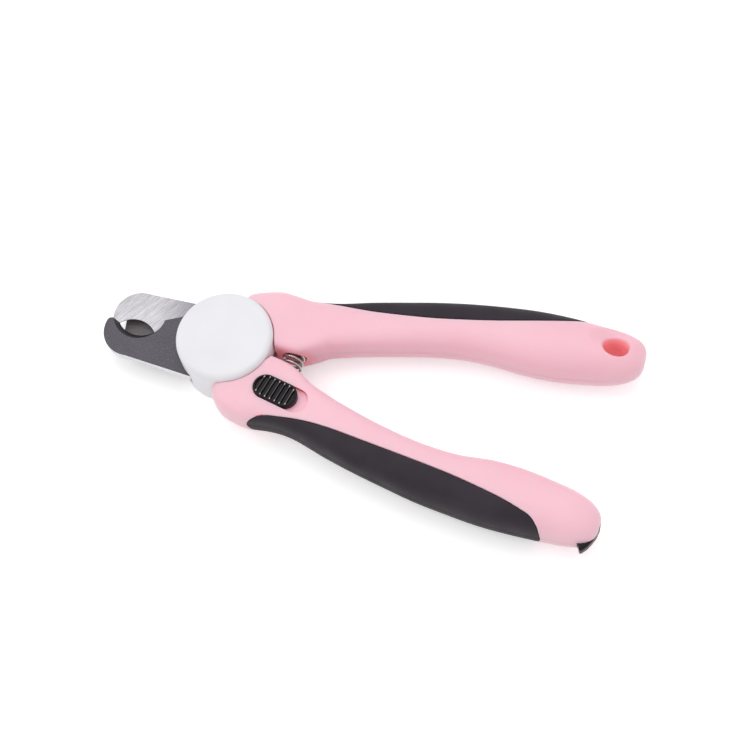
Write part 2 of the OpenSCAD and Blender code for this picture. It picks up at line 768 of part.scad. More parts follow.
file_handle_top_shell();
file_handle_bottom_shell();
file_handle_top_grip();
file_handle_bottom_grip();
curved_blade();
top_pivot_cap();
bottom_pivot_cap();
pivot_bolt();
pivot_nut();
pivot_washer();
file_handle_screws();
return_spring();
hang_handle_top_shell();
hang_handle_bottom_shell();
hang_handle_top_grip();
hang_handle_bottom_grip();
hook_blade();
hang_handle_screws();
lock_button();
lock_plate();
lock_pin();
lock_screw();
file_blade();
file_tab();
guard_plate();
guard_washer();
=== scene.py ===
import math
import bmesh
import bpy
import numpy as np
from mathutils import Matrix, Vector


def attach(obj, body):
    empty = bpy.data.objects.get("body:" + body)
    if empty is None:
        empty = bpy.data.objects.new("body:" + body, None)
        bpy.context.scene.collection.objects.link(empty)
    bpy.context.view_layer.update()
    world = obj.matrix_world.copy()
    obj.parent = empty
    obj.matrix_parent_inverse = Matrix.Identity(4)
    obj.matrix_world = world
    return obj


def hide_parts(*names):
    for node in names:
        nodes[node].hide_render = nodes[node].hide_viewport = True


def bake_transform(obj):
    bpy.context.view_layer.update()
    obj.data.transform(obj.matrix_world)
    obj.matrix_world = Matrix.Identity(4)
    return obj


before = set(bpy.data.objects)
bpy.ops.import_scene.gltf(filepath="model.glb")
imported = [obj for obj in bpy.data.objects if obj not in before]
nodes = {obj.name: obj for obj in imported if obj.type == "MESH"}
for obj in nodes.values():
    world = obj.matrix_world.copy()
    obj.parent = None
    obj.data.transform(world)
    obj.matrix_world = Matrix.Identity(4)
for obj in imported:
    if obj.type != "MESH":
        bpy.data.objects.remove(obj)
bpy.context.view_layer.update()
mm = 0.001
midZ = 8.5  # height where the shells meet, in mm
meshing = {"joinGap": 1e-6, "nodeGap": 2e-6, "flatAngle": 0.6, "edgeSteps": 2, "edgeAngle": 30}


def addObject(name, data):
    obj = bpy.data.objects.new(name, data)
    bpy.context.scene.collection.objects.link(obj)
    return obj


# Points are in mm.
def makeObject(name, verts, faces):
    mesh = bpy.data.meshes.new(name)
    mesh.from_pydata((np.asarray(verts, float) * mm).tolist(), [], faces)
    mesh.update()
    return addObject(name, mesh)


# Merges points that lie together, drops what collapses and points the faces outwards.
def cleanMesh(obj):
    bm = bmesh.new()
    bm.from_mesh(obj.data)
    bmesh.ops.remove_doubles(bm, verts=bm.verts, dist=meshing["joinGap"])
    bmesh.ops.dissolve_degenerate(bm, edges=bm.edges, dist=meshing["joinGap"])
    bmesh.ops.recalc_face_normals(bm, faces=bm.faces)
    bm.to_mesh(obj.data)
    bm.free()
    return obj


def shadeSmooth(obj, angle=32):
    obj.data.polygons.foreach_set("use_smooth", [True] * len(obj.data.polygons))
    obj.data.set_sharp_from_angle(angle=math.radians(angle))
    return obj


# Keeps the shape that the modifiers give, and drops the modifiers.
def bake(obj):
    graph = bpy.context.evaluated_depsgraph_get()
    mesh = bpy.data.meshes.new_from_object(obj.evaluated_get(graph))
    obj.modifiers.clear()
    old = obj.data
    obj.data = mesh
    mesh.name = old.name
    bpy.data.meshes.remove(old)
    return obj


# Cuts obj by the others, or joins them to it, and removes them.
def boolean(obj, others, operation="DIFFERENCE"):
    for other in others:
        cut = obj.modifiers.new("cut", "BOOLEAN")
        cut.operation = operation
        cut.solver = "EXACT"
        cut.object = other
    bake(obj)
    for other in others:
        bpy.data.objects.remove(other)
    return obj


def bevel(obj, width):
    b = obj.modifiers.new("edge", "BEVEL")
    b.width = width * mm
    b.segments = meshing["edgeSteps"]
    b.limit_method = "ANGLE"
    b.angle_limit = math.radians(meshing["edgeAngle"])
    b.harden_normals = False
    return bake(obj)


# Copy of a node with merged points, flat faces joined and its edges rounded by width.
def refine(node, name, width):
    obj = addObject(name, nodes[node].data.copy())
    bm = bmesh.new()
    bm.from_mesh(obj.data)
    bmesh.ops.remove_doubles(bm, verts=bm.verts, dist=meshing["nodeGap"])
    bmesh.ops.dissolve_limit(bm, angle_limit=math.radians(meshing["flatAngle"]), verts=bm.verts,
                             edges=bm.edges, delimit=set())
    bm.to_mesh(obj.data)
    bm.free()
    obj.data.materials.clear()
    return shadeSmooth(bevel(obj, width))


# Quads between closed rows of points, and a face across the first and the last row.
def tubeFaces(rows, cols):
    i, j = np.meshgrid(np.arange(rows - 1), np.arange(cols), indexing="ij")
    k = (j + 1) % cols
    quads = np.stack([i * cols + j, i * cols + k, (i + 1) * cols + k, (i + 1) * cols + j], -1)
    ends = [list(range(cols))[::-1], [(rows - 1) * cols + c for c in range(cols)]]
    return quads.reshape(-1, 4).tolist() + ends


# Closed body through rings of points, an array of rows x columns x 3.
def ringSolid(name, rings):
    rows, cols = rings.shape[:2]
    return cleanMesh(makeObject(name, rings.reshape(-1, 3), tubeFaces(rows, cols)))


def roundAngles(sides):
    return np.linspace(0, 2 * np.pi, sides, endpoint=False)


# Turns a profile of (radius, height) about Z; both of its ends lie on the axis.
def lathe(name, profile, sides, centre=(0, 0)):
    p = np.array(profile, float)
    a = roundAngles(sides)
    ring = np.stack([centre[0] + p[:, :1] * np.cos(a), centre[1] + p[:, :1] * np.sin(a),
                     np.repeat(p[:, 1:], sides, 1)], -1)
    return ringSolid(name, ring)


# Straight-sided body on an outline of (x, y).
def prism(name, outline, z0, z1):
    o = np.array(outline, float)
    ring = np.stack([np.c_[o, np.full(len(o), z)] for z in (z0, z1)])
    return ringSolid(name, ring)


def hullSolid(name, points):
    bm = bmesh.new()
    for p in points:
        bm.verts.new(Vector(p) * mm)
    found = bmesh.ops.convex_hull(bm, input=bm.verts)
    loose = [v for v in found["geom_interior"] if isinstance(v, bmesh.types.BMVert)]
    bmesh.ops.delete(bm, geom=loose, context="VERTS")
    mesh = bpy.data.meshes.new(name)
    bm.to_mesh(mesh)
    bm.free()
    return cleanMesh(addObject(name, mesh))


def circle(centre, radius, z):
    a = roundAngles(64)
    return np.stack([centre[0] + radius * np.cos(a), centre[1] + radius * np.sin(a),
                     np.full(len(a), float(z))], -1)


# Smooth curve through the points at x: cubic stretches whose slopes come from the neighbours.
def along(points, x):
    px, py = np.array(points, float).T
    n = len(px)
    before, after = np.maximum(np.arange(n) - 1, 0), np.minimum(np.arange(n) + 1, n - 1)
    slope = (py[after] - py[before]) / (px[after] - px[before])
    i = np.clip(np.searchsorted(px, x, side="right") - 1, 0, n - 2)
    h = px[i + 1] - px[i]
    t = (x - px[i]) / h
    return ((2 * t**3 - 3 * t**2 + 1) * py[i] + (t**3 - 2 * t**2 + t) * h * slope[i]
            + (3 * t**2 - 2 * t**3) * py[i + 1] + (t**3 - t**2) * h * slope[i + 1])


# Linear colour of an everyday 0-255 colour.
def srgb(r, g, b):
    c = np.array([r, g, b], float) / 255
    return tuple(np.where(c <= 0.04045, c / 12.92, ((c + 0.055) / 1.055) ** 2.4)) + (1.0,)


# A Principled material; shader gives the numbers that are the same all over.
def newMaterial(name, shader):
    mat = bpy.data.materials.new(name)
    mat.use_nodes = True
    tree = mat.node_tree
    bsdf = tree.nodes["Principled BSDF"]
    for key, value in shader.items():
        bsdf.inputs[key].default_value = value
    place = tree.nodes.new("ShaderNodeTexCoord")
    return mat, tree, bsdf, place.outputs["Object"]


# Links another socket to a socket, or sets it to a value.
def feed(tree, value, socket):
    if hasattr(value, "is_output"):
        tree.links.new(value, socket)
    else:
        socket.default_value = value


def addNode(tree, kind, settings=None, **inputs):
    node = tree.nodes.new(kind)
    for key, value in (settings or {}).items():
        setattr(node, key, value)
    for key, value in inputs.items():
        feed(tree, value, node.inputs[key])
    return node


# Turns a pattern about Z by turn degrees, then scales it, so that it can stretch along any line.
def mapped(tree, place, turn, scale):
    spin = (0, 0, -math.radians(turn))
    turned = addNode(tree, "ShaderNodeMapping", Vector=place, Rotation=spin).outputs[0]
    return addNode(tree, "ShaderNodeMapping", Vector=turned, Scale=scale).outputs[0]


def noise(tree, place, scale, detail=3, rough=0.5):
    return addNode(tree, "ShaderNodeTexNoise", Vector=place, Scale=scale, Detail=detail,
                   Roughness=rough).outputs["Fac"]


# Colour of a value, from stops of (place, colour).
def ramp(tree, value, stops):
    node = addNode(tree, "ShaderNodeValToRGB", Fac=value)
    e = node.color_ramp.elements
    for i, (at, colour) in enumerate(stops):
        el = e[i] if i < 2 else e.new(at)
        el.position = at
        el.color = colour
    return node.outputs["Color"]


# Carries a value from one range to another.
def span(tree, value, low, high, fromLow=0.3, fromHigh=0.7):
    node = addNode(tree, "ShaderNodeMapRange", Value=value)
    for key, v in zip(("From Min", "From Max", "To Min", "To Max"), (fromLow, fromHigh, low, high)):
        node.inputs[key].default_value = v
    return node.outputs[0]


# One maths step on one or two values or vectors.
def maths(tree, kind, operation, *values):
    node = addNode(tree, kind, {"operation": operation})
    for socket, value in zip(node.inputs, values):
        feed(tree, value, socket)
    return node


# Mixes two values or colours; a mix node takes values in sockets 2 and 3, colours in 6 and 7.
def mixed(tree, settings, share, *pair):
    first, out = (2, 0) if settings["data_type"] == "FLOAT" else (6, 2)
    node = addNode(tree, "ShaderNodeMix", settings, Factor=share)
    for socket, value in zip(node.inputs[first:first + 2], pair):
        feed(tree, value, socket)
    return node.outputs[out]


# Gives a material its colour and its gloss and, where a height is given, a fine relief.
def cover(tree, bsdf, tone, rough, height=None, strength=0, deep=0):
    tree.links.new(tone, bsdf.inputs["Base Color"])
    tree.links.new(rough, bsdf.inputs["Roughness"])
    if height is not None:
        bumps = addNode(tree, "ShaderNodeBump", Height=height, Strength=strength, Distance=deep)
        tree.links.new(bumps.outputs[0], bsdf.inputs["Normal"])


# Height of the fine relief, in m, and how small the patches of tone or gloss are.
relief = {"coarse": 0.0001, "coat": 0.00004, "steel": 0.00003}
patchScale = {"plastic": 160, "steel": 90, "file": 300, "hollow": 900}


# Deeper colour with a faint glow round one point, where close walls light each other.
def warmed(tree, bsdf, place, tone, warm):
    vector = "ShaderNodeVectorMath"
    off = maths(tree, vector, "SUBTRACT", place, [v * mm for v in warm["at"]]).outputs[0]
    share = maths(tree, vector, "DIVIDE", off, [v * mm for v in warm["reach"]]).outputs[0]
    far = maths(tree, vector, "LENGTH", share).outputs["Value"]
    near = span(tree, far, 1, 0, warm["full"], 1)
    bsdf.inputs["Emission Color"].default_value = warm["tone"]
    tree.links.new(span(tree, near, 0, warm["glow"], 0, 1), bsdf.inputs["Emission Strength"])
    return mixed(tree, {"data_type": "RGBA"}, near, tone, warm["tone"])


# Moulded plastic: faint drift in colour, a fine orange peel and uneven gloss.
def plasticMaterial(name, look):
    mat, tree, bsdf, place = newMaterial(name, look["shader"])
    tone = ramp(tree, noise(tree, place, look["driftScale"], 2), [(0.3, look["dark"]), (0.7, look["light"])])
    if "warm" in look:
        tone = warmed(tree, bsdf, place, tone, look["warm"])
    rough = span(tree, noise(tree, place, patchScale["plastic"], 4), *look["roughness"])
    fine = noise(tree, place, look["grainScale"], 2)
    cover(tree, bsdf, tone, rough, fine, look["grain"], relief["coarse"])
    return mat


# Ground steel: long fine lines along one direction, in colour, gloss and height.
def steelMaterial(name, look):
    mat, tree, bsdf, place = newMaterial(name, look["shader"])
    turned = mapped(tree, place, look["turn"], look["stretch"])
    lines = noise(tree, turned, look["lineScale"], 5, 0.65)
    cloud = noise(tree, place, patchScale["steel"], 2)
    both = mixed(tree, {"data_type": "FLOAT"}, 0.35, lines, cloud)
    tone = ramp(tree, both, [(0.34, look["dark"]), (0.66, look["light"])])
    cover(tree, bsdf, tone, span(tree, lines, *look["roughness"]), lines, look["grain"], relief["steel"])
    return mat


plastics = {
    "pinkPlastic": {
        "dark": srgb(249, 195, 208), "light": srgb(251, 201, 213), "driftScale": 40,
        "grainScale": 900, "grain": 0.05, "roughness": (0.34, 0.42),
        "warm": {"at": (19.5, 1, 8), "reach": (12, 5, 7), "full": 0.4,
                 "tone": srgb(250, 152, 163), "glow": 0.1},
        "shader": {"Specular IOR Level": 0.3, "Subsurface Weight": 0.3,
                   "Subsurface Radius": (1.0, 0.3, 0.3), "Subsurface Scale": 0.004}},
    "whitePlastic": {
        "dark": srgb(232, 232, 236), "light": srgb(238, 238, 242), "driftScale": 60,
        "grainScale": 900, "grain": 0.04, "roughness": (0.38, 0.46),
        "shader": {"Specular IOR Level": 0.4}},
    "softGrip": {
        "dark": srgb(43, 37, 44), "light": srgb(53, 46, 54), "driftScale": 70,
        "grainScale": 2600, "grain": 0.35, "roughness": (0.55, 0.68),
        "shader": {"Specular IOR Level": 0.25}},
    "blackPlastic": {
        "dark": srgb(14, 10, 13), "light": srgb(22, 16, 20), "driftScale": 120,
        "grainScale": 1500, "grain": 0.1, "roughness": (0.28, 0.36),
        "shader": {"Specular IOR Level": 0.2}},
    # The blade's coat, darkened with painted shade, for the sloped wall of its notch.
    "notchCoatPaintedShade": {
        "dark": srgb(26, 20, 26), "light": srgb(40, 33, 39), "driftScale": 300, "grainScale": 900,
        "grain": 0.05, "roughness": (0.3, 0.4), "shader": {"Specular IOR Level": 0.3}},
    # Painted highlight along the crests of the lock button's ribs.
    "blackCrestPaintedHighlight": {
        "dark": srgb(96, 92, 97), "light": srgb(120, 116, 121), "driftScale": 700, "grainScale": 1500,
        "grain": 0.05, "roughness": (0.25, 0.35), "shader": {"Specular IOR Level": 0.5}},
    # Brighter painted glint where each rib of the lock button meets the rim.
    "blackRimPaintedGlint": {
        "dark": srgb(165, 160, 165), "light": srgb(190, 185, 190), "driftScale": 700, "grainScale": 1500,
        "grain": 0.05, "roughness": (0.25, 0.35), "shader": {"Specular IOR Level": 0.5}},
    # Lighter, lilac pink with a faint glow: painted light on the floor of the button's recess.
    "pinkFloorPaintedGlow": {
        "dark": srgb(248, 197, 212), "light": srgb(250, 203, 218), "driftScale": 60, "grainScale": 900,
        "grain": 0.05, "roughness": (0.4, 0.5),
        "shader": {"Specular IOR Level": 0.3, "Emission Color": srgb(255, 205, 228),
                   "Emission Strength": 0.06}},
    # Deeper pink with a faint glow: painted shade and painted glow for walls in narrow gaps and recesses.
    "pinkGapPaintedShadeGlow": {
        "dark": srgb(228, 124, 132), "light": srgb(238, 136, 144), "driftScale": 60, "grainScale": 900,
        "grain": 0.05, "roughness": (0.45, 0.55),
        "shader": {"Specular IOR Level": 0.2, "Emission Color": srgb(255, 110, 100),
                   "Emission Strength": 0.08}},
}
steels = {
    "bareWall": {
        "dark": srgb(214, 212, 216), "light": srgb(238, 237, 241), "turn": 0, "stretch": (1, 1, 40),
        "lineScale": 120, "grain": 0.1, "roughness": (0.4, 0.5), "shader": {"Metallic": 0.5}},
    "plainSteel": {
        "dark": srgb(150, 149, 152), "light": srgb(190, 189, 192), "turn": 20, "stretch": (1, 6, 1),
        "lineScale": 500, "grain": 0.1, "roughness": (0.28, 0.4), "shader": {"Metallic": 1.0}},
    "springWire": {
        "dark": srgb(165, 162, 160), "light": srgb(205, 202, 200), "turn": 0, "stretch": (1, 1, 1),
        "lineScale": 900, "grain": 0.05, "roughness": (0.2, 0.3), "shader": {"Metallic": 1.0}},
    "guardSteel": {
        "dark": srgb(100, 95, 97), "light": srgb(120, 114, 116), "turn": 10, "stretch": (1, 10, 1),
        "lineScale": 300, "grain": 0.12, "roughness": (0.42, 0.55), "shader": {"Metallic": 0.6}},
}


# Ground blade: fine scratches over broader ones, all along one line, and darker towards the drum, a painted
# shadow of the cap.
def groundMaterial(look):
    mat, tree, bsdf, place = newMaterial("groundBlade", look["shader"])
    fine = noise(tree, mapped(tree, place, look["turn"], look["fineStretch"]), look["fine"], 3, 0.7)
    broad = noise(tree, mapped(tree, place, look["turn"], look["broadStretch"]), look["broad"], 4, 0.6)
    both = mixed(tree, {"data_type": "FLOAT"}, look["fineShare"], broad, fine)
    tone = ramp(tree, both, [(0.35, look["dark"]), (0.5, look["middle"]), (0.64, look["light"])])
    x = addNode(tree, "ShaderNodeSeparateXYZ", Vector=place).outputs["X"]
    # Painted shadow of the cap: the tone is multiplied darker towards the drum.
    paintedCapShadow = mixed(tree, {"data_type": "RGBA", "blend_type": "MULTIPLY"},
                 span(tree, x, 0, 1, *look["paintedCapShadowFrom"]), tone, look["paintedCapShadow"])
    cover(tree, bsdf, paintedCapShadow, span(tree, fine, *look["roughness"]), both, look["grain"], relief["steel"])
    return mat


# Nail file: two sets of cut lines that cross.
def fileMaterial(look):
    mat, tree, bsdf, place = newMaterial("fileSteel", look["shader"])
    cuts = []
    for turn in look["turns"]:
        turned = mapped(tree, place, turn, (1, 1, 1))
        cuts.append(addNode(tree, "ShaderNodeTexWave", {"wave_type": "BANDS"}, Vector=turned,
                            Scale=look["cutScale"], Distortion=look["waver"]).outputs["Fac"])
    both = maths(tree, "ShaderNodeMath", "MULTIPLY", *cuts).outputs[0]
    tone = ramp(tree, both, [(0.1, look["dark"]), (0.7, look["light"])])
    rough = span(tree, noise(tree, place, patchScale["file"]), *look["roughness"])
    cover(tree, bsdf, tone, rough, both, look["grain"], relief["coarse"])
    return mat


# Dark coat on steel: cloudy, matt, with fine pale specks.
def coatedMaterial(look):
    mat, tree, bsdf, place = newMaterial("coatedBlade", look["shader"])
    cloud = noise(tree, place, look["cloudScale"], 3)
    specks = noise(tree, place, look["speckScale"], 2, 0.5)
    tone = ramp(tree, specks, [(0.3, look["dark"]), (0.7, look["light"])])
    speckled = mixed(tree, {"data_type": "RGBA"}, span(tree, specks, 0, *look["speckShare"]), tone,
                     look["speck"])
    rough = span(tree, cloud, *look["roughness"])
    cover(tree, bsdf, speckled, rough, specks, look["grain"], relief["coat"])
    return mat


# Wall of the hanging hole, with painted shade and a painted glow: redder halfway down than at its mouths.
def hollowMaterial(look):
    mat, tree, bsdf, place = newMaterial("pinkHolePaintedShadeGlow", look["shader"])
    z = addNode(tree, "ShaderNodeSeparateXYZ", Vector=place).outputs["Z"]
    off = maths(tree, "ShaderNodeMath", "SUBTRACT", z, midZ * mm).outputs[0]
    away = maths(tree, "ShaderNodeMath", "ABSOLUTE", off).outputs[0]
    tone = ramp(tree, span(tree, away, 0, 1, *look["from"]), [(0.0, look["deep"]), (1.0, look["mouth"])])
    cover(tree, bsdf, tone, span(tree, noise(tree, place, patchScale["hollow"]), *look["roughness"]))
    return mat


materials = {name: plasticMaterial(name, look) for name, look in plastics.items()}
materials.update({name: steelMaterial(name, look) for name, look in steels.items()})
# The blade's darker colour towards the drum, and where it starts and ends along x, is a painted shadow of
# the cap.
materials["groundBlade"] = groundMaterial({
    "dark": srgb(146, 143, 149), "middle": srgb(210, 208, 213), "light": srgb(240, 239, 243), "turn": 58,
    "fine": 480, "fineStretch": (1, 90, 1), "broad": 130, "broadStretch": (1, 22, 1), "fineShare": 0.6,
    "grain": 0.35, "roughness": (0.5, 0.62), "shader": {"Metallic": 0.66},
    "paintedCapShadow": srgb(205, 202, 206), "paintedCapShadowFrom": (-0.0265, -0.0165)})
# The hole wall's deep and mouth colours and its glow are painted shade and painted light.
materials["pinkHolePaintedShadeGlow"] = hollowMaterial({
    "deep": srgb(243, 142, 150), "mouth": srgb(252, 188, 190), "from": (0.0025, 0.0072),
    "roughness": (0.4, 0.5), "shader": {"Specular IOR Level": 0.2, "Emission Color": srgb(255, 185, 190),
                                        "Emission Strength": 0.11}})
materials["fileSteel"] = fileMaterial({
    "dark": srgb(140, 139, 142), "light": srgb(200, 199, 202), "turns": (55, -55), "cutScale": 520.0,
    "waver": 0.3, "grain": 0.6, "roughness": (0.35, 0.5), "shader": {"Metallic": 0.9}})
materials["coatedBlade"] = coatedMaterial({
    "dark": srgb(84, 80, 88), "light": srgb(101, 97, 105), "cloudScale": 220, "speckScale": 2900,
    "speck": srgb(170, 168, 174), "speckShare": (0.7, 0.64, 0.73), "grain": 0.15,
    "roughness": (0.48, 0.6), "shader": {"Metallic": 0.2, "Specular IOR Level": 0.3}})
print("materials made")


# Gives a new piece its material, its body and the nodes that it stands for.
def dress(obj, body, material, slot, *stands):
    obj.data.materials.clear()
    obj.data.materials.append(materials[material])
    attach(obj, body)
    if stands:
        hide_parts(*stands)
    return obj


# A node's own shape with its edges rounded by width.
def plainPiece(node, name, width, body, material, slot):
    return dress(refine(node, name, width), body, material, slot, node)


# Gives more materials to some faces of a piece: pick turns their centres (in mm) and normals
# into slot numbers.
def paint(obj, pick, *names):
    mesh = obj.data
    count = len(mesh.polygons)
    normal, centre = np.empty(count * 3), np.empty(count * 3)
    mesh.polygons.foreach_get("normal", normal)
    mesh.polygons.foreach_get("center", centre)
    for name in names:
        mesh.materials.append(materials[name])
    slots = pick(centre.reshape(-1, 3) / mm, normal.reshape(-1, 3)).astype(np.int32)
    mesh.polygons.foreach_set("material_index", slots)


handleForm = {
    "halfThick": [[0.8, 3.2], [1.6, 4.8], [2.8, 5.9], [4.5, 6.4], [10, 6.6], [30, 6.7], [50, 7.1],
                  [70, 7.7], [92, 8.5], [108, 8.3], [130, 7.3]],
    "squareIn": [[0, 4], [12, 7], [23, 7], [30, 4], [45, 3], [60, 2.7], [100, 2.5], [130, 2.3]],
    "squareOut": [[0, 4], [20, 3.8], [35, 3.3], [60, 2.7], [100, 2.5], [130, 2.3]],
    "endStart": 108, "end": 124.6, "endPowers": (2.6, 3.7),
    "endLow": 0.8, "mostInset": 0.7, "seam": 0.12, "seamAngle": 0.02, "shoulder": 0.2,
    "shoulderFrom": 0.985, "columns": 64,
    "footRows": [0.8, 1.0, 1.3, 1.6, 2, 2.4, 2.8, 3.4, 4, 4.6], "rowFrom": 5.2, "rowStep": 0.8,
    "gripRows": 22, "gripRowsReach": 3, "endRows": 26, "rowGap": 0.04,
    "gripThick": 1.8, "gripRise": 1.6, "gripGap": 0.1, "gripRound": 0.45, "gripSeam": 0.14,
    "gripSeamWide": 0.22, "gripSeamAngle": 0.01, "gripProud": 0.02, "bedGap": 0.1, "bedLeast": 0.02,
    "skinColumns": 40, "underColumns": 14, "bedColumns": 12,
    "lipSteps": [0, 0.03, 0.08, 0.16, 0.28, 0.4, 0.6, 0.9], "seamSteps": [0.22, 0.15, 0.1, 0.05, 0],
}
hang = {
    "side": 1, "body": "hang_handle",
    "outer": [[0.8, 16.9], [2, 17.9], [4, 18.7], [8, 20.1], [12, 21.1], [17, 20.8], [22, 20.4],
              [30, 21.6], [40, 24.6], [50, 27.3], [60, 29.8], [70, 31.8], [80, 33.3], [90, 34.4],
              [100, 34.7], [112, 34.2], [130, 34.2]],
    "inner": [[0.8, 1.4], [17, 1.4], [20, 1.25], [23, 1.5], [25, 2.4], [28, 3.9], [31, 5.7],
              [35, 6.9], [40, 8.4], [50, 11], [60, 13.4], [70, 15.1], [80, 15.4], [90, 14.8],
              [100, 15.1], [112, 16.9], [130, 19.2]],
    "border": [[16, 0.98], [22, 0.95], [27, 0.89], [32, 0.73], [37, 0.53], [42, 0.37], [52, 0.17],
               [61, 0.05], [70, 0.05], [79, 0.16], [88, 0.35], [96, 0.55], [102, 0.75],
               [106, 0.93]],
    "gripEnds": (15.2, 106.9), "endRound": (3.0, 2.5),
    "screws": [[31, 14.4], [54, 18.3], [99, 24]],
    "drum": {"drumWay": ((0, 0), 15.2), "flare": ((0.9, -2.4), 15.2)}, "seat": (0, 8),
    "hole": (115.5, 26.35), "holeHalf": (4.0, 3.0),
    "dish": {"at": (114.4, 29.0), "left": 8.0, "right": 5.4, "across": 4.2, "deep": 2.6, "below": 0.3},
}
fileSide = {
    "side": -1, "body": "file_handle",
    "outer": [[0.8, 16.6], [2, 18.6], [4, 20.6], [6, 21.8], [10, 23], [14, 23.5], [20, 22.8],
              [25, 22.8], [30, 23.7], [40, 26.8], [50, 29.4], [60, 31.6], [70, 33.6], [80, 34.9],
              [90, 35.9], [100, 36.1], [112, 35.8], [130, 35.3]],
    "inner": [[0.8, 1.4], [15, 1.4], [18, 1.8], [20, 2.2], [22, 2.8], [24, 3.5], [26, 4.5],
              [28, 5.7], [31, 7.2], [35, 8.6], [40, 10.3], [50, 13.1], [60, 15.4], [70, 17],
              [80, 17.5], [90, 16.6], [100, 17], [112, 18.8], [130, 20.9]],
    "border": [[15, 0.99], [16, 0.97], [18, 0.9], [21, 0.84], [24, 0.8], [27, 0.72], [30, 0.61],
               [36, 0.38], [42, 0.21], [52, 0.05], [61, -0.05], [70, -0.09], [79, -0.02],
               [88, 0.17], [96, 0.34], [102, 0.51], [104.6, 0.6], [106, 0.7], [107.2, 0.82],
               [108.3, 0.93]],
    "gripEnds": (14.3, 108.8), "endRound": (1.6, 1.2),
    "screws": [[31, -14.8], [52, -18.4], [99, -20.3]],
    "drum": {"drumWay": ((0, 0), 15.07), "flare": ((2.9, 5.6), 15.1)}, "seat": (-6.6, 4),
}


# Depth of the soft dish round the hanging hole: deep * (1 - q)^1.5, where q is the squared
# distance from its lowest point as a share of its reach that way, up to 1.
def dishDepth(dish, x, y):
    u, v = x - dish["at"][0], y - dish["at"][1]
    q = (u / np.where(u < 0, dish["left"], dish["right"])) ** 2 + (v / dish["across"]) ** 2
    return dish["deep"] * np.clip(1 - q, 0, 1) ** 1.5


# Surface of a handle. Its section at x is a squared oval: the angle runs from its inner side (0)
# over the top to its outer side (pi), and the oval's half width, half height and squareness
# change along x. Past endStart both shrink by (1 - past^p)^(1/p), with one power p on the inner
# side and one on the outer. inset draws the oval in.
def sectionPoints(handle, x, angle, inset):
    f = handleForm
    past = np.clip((x - f["endStart"]) / (f["end"] - f["endStart"]), 0, 1)
    keepIn, keepOut = [(1 - past ** p) ** (1 / p) for p in f["endPowers"]]
    inner, outer = along(handle["inner"], x), along(handle["outer"], x)
    half = (outer - inner) / 2 * np.where(np.cos(angle) > 0, keepIn, keepOut)
    high = along(f["halfThick"], x) * keepIn ** f["endLow"]
    n = np.where(np.cos(angle) > 0, along(f["squareIn"], x), along(f["squareOut"], x))
    c, s = np.cos(angle), np.sin(angle)
    r = (np.abs(c) ** n + np.abs(s) ** n) ** (-1 / n)
    inset = np.minimum(inset, f["mostInset"] * np.minimum(half, high))
    y = (inner + outer) / 2 - (half - inset) * r * c
    z = (high - inset) * r * s + 0 * x
    return np.stack([x + 0 * y, handle["side"] * y, z], -1)


# Angle where the soft grip's edge crosses the section at x, and the grip's depth there. The
# edge's points are shares of the half width; both ends of the grip are rounded off.
def gripEdge(handle, x):
    u = np.clip(along(handle["border"], np.clip(x, handle["border"][0][0], handle["border"][-1][0])),
                -1, 1)
    n = along(handleForm["squareOut"], x)
    edge = np.arctan2((1 - np.abs(u) ** n) ** (1 / n), -u)
    (x0, x1), (w0, w1) = handle["gripEnds"], handle["endRound"]
    keep = 1.0
    for d, w in ((x - x0, w0), (x1 - x, w1)):
        keep = keep * np.sqrt(1 - (1 - np.clip(d / w, 0, 1)) ** 2)
    edge = np.pi - (np.pi - edge) * keep
    return edge, handleForm["gripThick"] * np.clip(handleForm["gripRise"] * keep, 0, 1), keep


# Places of a handle's sections, closer together at its foot, its end and the ends of its grip.
def handleStations(handle):
    f = handleForm
    (x0, x1), reach = handle["gripEnds"], f["gripRowsReach"]
    rows = [f["footRows"], np.arange(f["rowFrom"], f["endStart"], f["rowStep"]),
            np.linspace(x0 - 0.1, x0 + reach, f["gripRows"]),
            np.linspace(x1 - reach, x1 + 0.1, f["gripRows"]),
            f["endStart"] + (f["end"] - f["endStart"]) * np.sin(np.linspace(0, np.pi / 2, f["endRows"]))]
    rows = np.unique(np.round(np.concatenate(rows), 3))
    return rows[np.concatenate([[True], np.diff(rows) > f["rowGap"]])]


# Half of a handle's plastic: a seam at its foot, the open skin, a shoulder and wall at the grip's
# edge, and the bed that the grip lies in. On the underside the dish is less deep.
def shellHalf(handle, name, up):
    f = handleForm
    x = handleStations(handle)[:, None]
    edge, depth, keep = gripEdge(handle, x)
    seam = f["seamAngle"]
    edge = np.minimum(edge, np.pi - seam)
    s = np.linspace(0, 1, f["columns"])[None, :]
    shoulder = f["shoulder"] * keep
    angles = [0 * x, seam + (edge - seam) * s, edge + 0 * x, edge + 0 * x]
    turn = np.clip((s - f["shoulderFrom"]) / (1 - f["shoulderFrom"]), 0, 1)
    insets = [f["seam"] + 0 * x, shoulder * turn ** 2 + 0 * x, 0.5 * depth, depth]
    t = np.linspace(0, 1, f["bedColumns"])[None, 1:-1]
    angles += [edge + (np.pi - seam - edge) * t, np.pi - seam + 0 * x, np.pi + 0 * x]
    insets += [depth + 0 * t, depth, np.maximum(depth, f["seam"])]
    a, i = np.concatenate(angles, 1), np.concatenate(insets, 1)
    p = sectionPoints(handle, x, a, i)
    if "dish" in handle:
        dish = handle["dish"]
        p[..., 2] -= dishDepth(dish, p[..., 0], p[..., 1]) * (1 if up else dish["below"])
    p[..., 2] = midZ + (1 if up else -1) * p[..., 2]
    return ringSolid(name, p)


